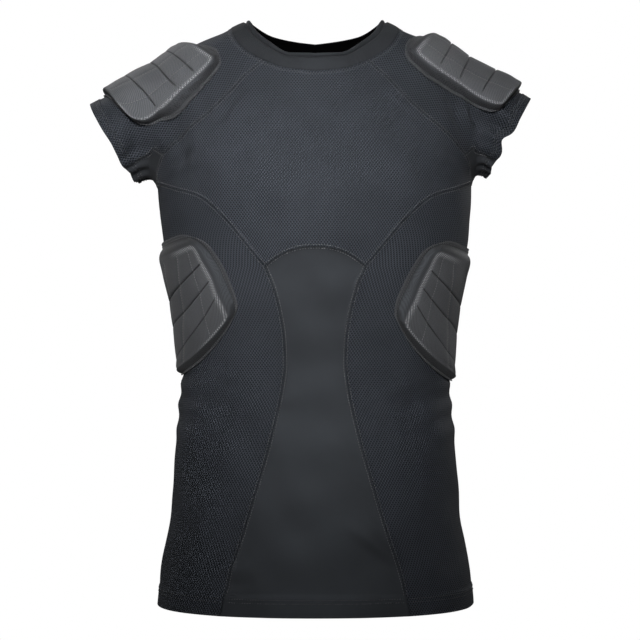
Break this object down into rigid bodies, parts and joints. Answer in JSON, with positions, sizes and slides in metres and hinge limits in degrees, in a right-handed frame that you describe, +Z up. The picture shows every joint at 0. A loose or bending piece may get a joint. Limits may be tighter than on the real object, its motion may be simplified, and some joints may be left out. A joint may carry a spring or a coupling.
{
  "type": "padded compression shirt",
  "caption": "Close-fitting short-sleeved shirt of stretch and mesh panels, with foam pads on the shoulders and ribs, hollow as worn.",
  "frame": {"origin": "midway between the two points where the shoulders meet the collar, where the wearer holds the shirt up", "axes": "+Z up towards the neck, -Y out of the front, +X towards the wearer's left"},
  "size_m": [0.5164, 0.2492, 0.6811],
  "materials": {
    "mesh_cloth": "matt knitted mesh",
    "smooth_cloth": "smooth stretch knit",
    "collar_cloth": "smooth stretch knit",
    "pad_cover": "fine mesh over foam"
  },
  "bodies": {
    "root": {"chest_panel": "mesh_cloth", "belly_panel": "smooth_cloth", "back_panel": "mesh_cloth", "collar": "collar_cloth", "side_panel_left": "mesh_cloth", "sleeve_left": "mesh_cloth", "gusset_left": "smooth_cloth", "shoulder_pad_left": "pad_cover", "rib_pad_left": "pad_cover", "side_panel_right": "mesh_cloth", "sleeve_right": "mesh_cloth", "gusset_right": "smooth_cloth", "shoulder_pad_right": "pad_cover", "rib_pad_right": "pad_cover"}
  },
  "joints": []
}
